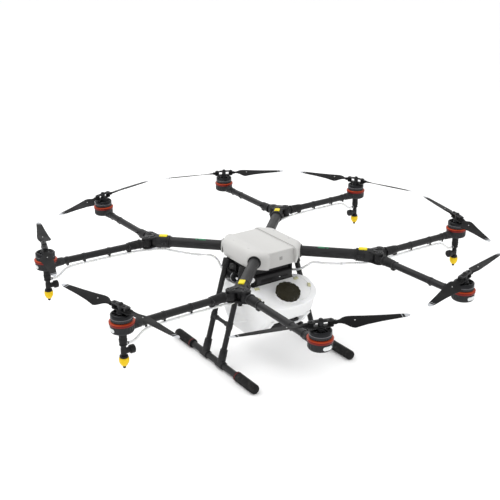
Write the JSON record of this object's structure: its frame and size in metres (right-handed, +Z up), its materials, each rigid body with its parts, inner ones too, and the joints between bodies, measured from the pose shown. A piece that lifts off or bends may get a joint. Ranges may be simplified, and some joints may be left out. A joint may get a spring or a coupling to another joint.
{
  "type": "agricultural spray drone",
  "caption": "Multi-rotor crop spraying drone with folding arms and propellers, a liquid tank with filler cap, sliding battery, pumps, hoses, nozzles and skid landing gear.",
  "frame": {"origin": "on the ground under the centre of the four main tubes, which is the middle of the whole drone's footprint", "axes": "+Z up, -Y towards the filler cap and battery side (front), +X to the drone's right in the front view from -Y"},
  "size_m": [1.5748, 1.5976, 0.482],
  "materials": {
    "carbon_tube": "woven carbon fibre tube, satin clear coat",
    "black_nylon": "moulded glass-filled nylon",
    "propeller_composite": "moulded carbon-nylon, silver-grey tips",
    "white_shell": "white moulded plastic",
    "tank_polyethylene": "white rotationally moulded polyethylene",
    "cap_olive": "dark olive moulded plastic",
    "battery_case": "black plastic case",
    "motor_bell": "black anodised, silver and orange rings",
    "hose_translucent": "pale translucent hose",
    "nozzle_black": "black moulded plastic with a yellow cap",
    "skid_rubber": "black rubber ends on a carbon tube",
    "frame_black": "black anodised and carbon plate"
  },
  "bodies": {
    "root": {"center_frame": "frame_black", "top_shell": "white_shell", "flight_controller": "black_nylon", "tank": "tank_polyethylene", "pump_left": "black_nylon", "pump_right": "black_nylon", "leg_frame_left": "carbon_tube", "leg_frame_right": "carbon_tube", "skid_left": "skid_rubber", "skid_right": "skid_rubber", "main_tube_front_left": "carbon_tube", "main_tube_rear_left": "carbon_tube", "main_tube_rear_right": "carbon_tube", "main_tube_front_right": "carbon_tube", "y_joint_front_left": "black_nylon", "y_joint_rear_left": "black_nylon", "y_joint_rear_right": "black_nylon", "y_joint_front_right": "black_nylon", "hose_2": "hose_translucent", "hose_3": "hose_translucent", "hose_6": "hose_translucent", "hose_7": "hose_translucent"},
    "arm_1": {"arm_1": "carbon_tube"},
    "arm_2": {"arm_2": "carbon_tube", "nozzle_2": "nozzle_black"},
    "arm_3": {"arm_3": "carbon_tube", "nozzle_3": "nozzle_black"},
    "arm_4": {"arm_4": "carbon_tube"},
    "arm_5": {"arm_5": "carbon_tube"},
    "arm_6": {"arm_6": "carbon_tube", "nozzle_6": "nozzle_black"},
    "arm_7": {"arm_7": "carbon_tube", "nozzle_7": "nozzle_black"},
    "arm_8": {"arm_8": "carbon_tube"},
    "rotor_1": {"rotor_1": "motor_bell"},
    "rotor_2": {"rotor_2": "motor_bell"},
    "rotor_3": {"rotor_3": "motor_bell"},
    "rotor_4": {"rotor_4": "motor_bell"},
    "rotor_5": {"rotor_5": "motor_bell"},
    "rotor_6": {"rotor_6": "motor_bell"},
    "rotor_7": {"rotor_7": "motor_bell"},
    "rotor_8": {"rotor_8": "motor_bell"},
    "blade_1a": {"blade_1a": "propeller_composite"},
    "blade_1b": {"blade_1b": "propeller_composite"},
    "blade_2a": {"blade_2a": "propeller_composite"},
    "blade_2b": {"blade_2b": "propeller_composite"},
    "blade_3a": {"blade_3a": "propeller_composite"},
    "blade_3b": {"blade_3b": "propeller_composite"},
    "blade_4a": {"blade_4a": "propeller_composite"},
    "blade_4b": {"blade_4b": "propeller_composite"},
    "blade_5a": {"blade_5a": "propeller_composite"},
    "blade_5b": {"blade_5b": "propeller_composite"},
    "blade_6a": {"blade_6a": "propeller_composite"},
    "blade_6b": {"blade_6b": "propeller_composite"},
    "blade_7a": {"blade_7a": "propeller_composite"},
    "blade_7b": {"blade_7b": "propeller_composite"},
    "blade_8a": {"blade_8a": "propeller_composite"},
    "blade_8b": {"blade_8b": "propeller_composite"},
    "battery": {"battery": "battery_case"},
    "tank_cap": {"tank_cap": "cap_olive"}
  },
  "joints": [
    {"name": "arm_fold_1", "type": "hinge", "parent": "root", "child": "arm_1", "pos_m": [-0.28351, -0.31784, 0.402], "axis": [0, 0, 1], "range_deg": [0, 103]},
    {"name": "arm_fold_2", "type": "hinge", "parent": "root", "child": "arm_2", "pos_m": [-0.31784, -0.28351, 0.402], "axis": [0, 0, -1], "range_deg": [0, 103], "deforming": ["hose_2"]},
    {"name": "arm_fold_3", "type": "hinge", "parent": "root", "child": "arm_3", "pos_m": [-0.31784, 0.28351, 0.402], "axis": [0, 0, 1], "range_deg": [0, 85], "deforming": ["hose_3"]},
    {"name": "arm_fold_4", "type": "hinge", "parent": "root", "child": "arm_4", "pos_m": [-0.28351, 0.31784, 0.402], "axis": [0, 0, -1], "range_deg": [0, 85]},
    {"name": "arm_fold_5", "type": "hinge", "parent": "root", "child": "arm_5", "pos_m": [0.28351, 0.31784, 0.402], "axis": [0, 0, 1], "range_deg": [0, 103]},
    {"name": "arm_fold_6", "type": "hinge", "parent": "root", "child": "arm_6", "pos_m": [0.31784, 0.28351, 0.402], "axis": [0, 0, -1], "range_deg": [0, 103], "deforming": ["hose_6"]},
    {"name": "arm_fold_7", "type": "hinge", "parent": "root", "child": "arm_7", "pos_m": [0.31784, -0.28351, 0.402], "axis": [0, 0, 1], "range_deg": [0, 85], "deforming": ["hose_7"]},
    {"name": "arm_fold_8", "type": "hinge", "parent": "root", "child": "arm_8", "pos_m": [0.28351, -0.31784, 0.402], "axis": [0, 0, -1], "range_deg": [0, 85]},
    {"name": "rotor_spin_1", "type": "hinge", "parent": "arm_1", "child": "rotor_1", "pos_m": [-0.29084, -0.70215, 0.42], "axis": [0, 0, 1], "continuous": true},
    {"name": "rotor_spin_2", "type": "hinge", "parent": "arm_2", "child": "rotor_2", "pos_m": [-0.70215, -0.29084, 0.42], "axis": [0, 0, -1], "continuous": true},
    {"name": "rotor_spin_3", "type": "hinge", "parent": "arm_3", "child": "rotor_3", "pos_m": [-0.70215, 0.29084, 0.42], "axis": [0, 0, 1], "continuous": true},
    {"name": "rotor_spin_4", "type": "hinge", "parent": "arm_4", "child": "rotor_4", "pos_m": [-0.29084, 0.70215, 0.42], "axis": [0, 0, -1], "continuous": true},
    {"name": "rotor_spin_5", "type": "hinge", "parent": "arm_5", "child": "rotor_5", "pos_m": [0.29084, 0.70215, 0.42], "axis": [0, 0, 1], "continuous": true},
    {"name": "rotor_spin_6", "type": "hinge", "parent": "arm_6", "child": "rotor_6", "pos_m": [0.70215, 0.29084, 0.42], "axis": [0, 0, -1], "continuous": true},
    {"name": "rotor_spin_7", "type": "hinge", "parent": "arm_7", "child": "rotor_7", "pos_m": [0.70215, -0.29084, 0.42], "axis": [0, 0, 1], "continuous": true},
    {"name": "rotor_spin_8", "type": "hinge", "parent": "arm_8", "child": "rotor_8", "pos_m": [0.29084, -0.70215, 0.42], "axis": [0, 0, -1], "continuous": true},
    {"name": "blade_fold_1a", "type": "hinge", "parent": "rotor_1", "child": "blade_1a", "pos_m": [-0.26251, -0.71201, 0.466], "axis": [0, 0, -1], "range_deg": [0, 90]},
    {"name": "blade_fold_1b", "type": "hinge", "parent": "rotor_1", "child": "blade_1b", "pos_m": [-0.31917, -0.69228, 0.466], "axis": [0, 0, 1], "range_deg": [0, 90]},
    {"name": "blade_fold_2a", "type": "hinge", "parent": "rotor_2", "child": "blade_2a", "pos_m": [-0.70862, -0.26155, 0.466], "axis": [0, 0, -1], "range_deg": [0, 90]},
    {"name": "blade_fold_2b", "type": "hinge", "parent": "rotor_2", "child": "blade_2b", "pos_m": [-0.69568, -0.32013, 0.466], "axis": [0, 0, 1], "range_deg": [0, 90]},
    {"name": "blade_fold_3a", "type": "hinge", "parent": "rotor_3", "child": "blade_3a", "pos_m": [-0.69398, 0.31971, 0.466], "axis": [0, 0, -1], "range_deg": [0, 90]},
    {"name": "blade_fold_3b", "type": "hinge", "parent": "rotor_3", "child": "blade_3b", "pos_m": [-0.71032, 0.26197, 0.466], "axis": [0, 0, 1], "range_deg": [0, 90]},
    {"name": "blade_fold_4a", "type": "hinge", "parent": "rotor_4", "child": "blade_4a", "pos_m": [-0.26311, 0.71361, 0.466], "axis": [0, 0, -1], "range_deg": [0, 90]},
    {"name": "blade_fold_4b", "type": "hinge", "parent": "rotor_4", "child": "blade_4b", "pos_m": [-0.31857, 0.69069, 0.466], "axis": [0, 0, 1], "range_deg": [0, 90]},
    {"name": "blade_fold_5a", "type": "hinge", "parent": "rotor_5", "child": "blade_5a", "pos_m": [0.26287, 0.713, 0.466], "axis": [0, 0, -1], "range_deg": [0, 90]},
    {"name": "blade_fold_5b", "type": "hinge", "parent": "rotor_5", "child": "blade_5b", "pos_m": [0.31881, 0.6913, 0.466], "axis": [0, 0, 1], "range_deg": [0, 90]},
    {"name": "blade_fold_6a", "type": "hinge", "parent": "rotor_6", "child": "blade_6a", "pos_m": [0.69057, 0.31852, 0.466], "axis": [0, 0, 1], "range_deg": [0, 90]},
    {"name": "blade_fold_6b", "type": "hinge", "parent": "rotor_6", "child": "blade_6b", "pos_m": [0.71373, 0.26316, 0.466], "axis": [0, 0, -1], "range_deg": [0, 90]},
    {"name": "blade_fold_7a", "type": "hinge", "parent": "rotor_7", "child": "blade_7a", "pos_m": [0.71226, -0.2626, 0.466], "axis": [0, 0, 1], "range_deg": [0, 90]},
    {"name": "blade_fold_7b", "type": "hinge", "parent": "rotor_7", "child": "blade_7b", "pos_m": [0.69204, -0.31908, 0.466], "axis": [0, 0, -1], "range_deg": [0, 90]},
    {"name": "blade_fold_8a", "type": "hinge", "parent": "rotor_8", "child": "blade_8a", "pos_m": [0.31946, -0.69315, 0.466], "axis": [0, 0, 1], "range_deg": [0, 90]},
    {"name": "blade_fold_8b", "type": "hinge", "parent": "rotor_8", "child": "blade_8b", "pos_m": [0.26222, -0.71115, 0.466], "axis": [0, 0, -1], "range_deg": [0, 90]},
    {"name": "battery_slide", "type": "slide", "parent": "root", "child": "battery", "axis": [0, -1, 0], "range_m": [-0.19, 0]},
    {"name": "tank_cap_lift", "type": "slide", "parent": "root", "child": "tank_cap", "axis": [0, -0.342, 0.9397], "range_m": [0, 0.06]}
  ]
}
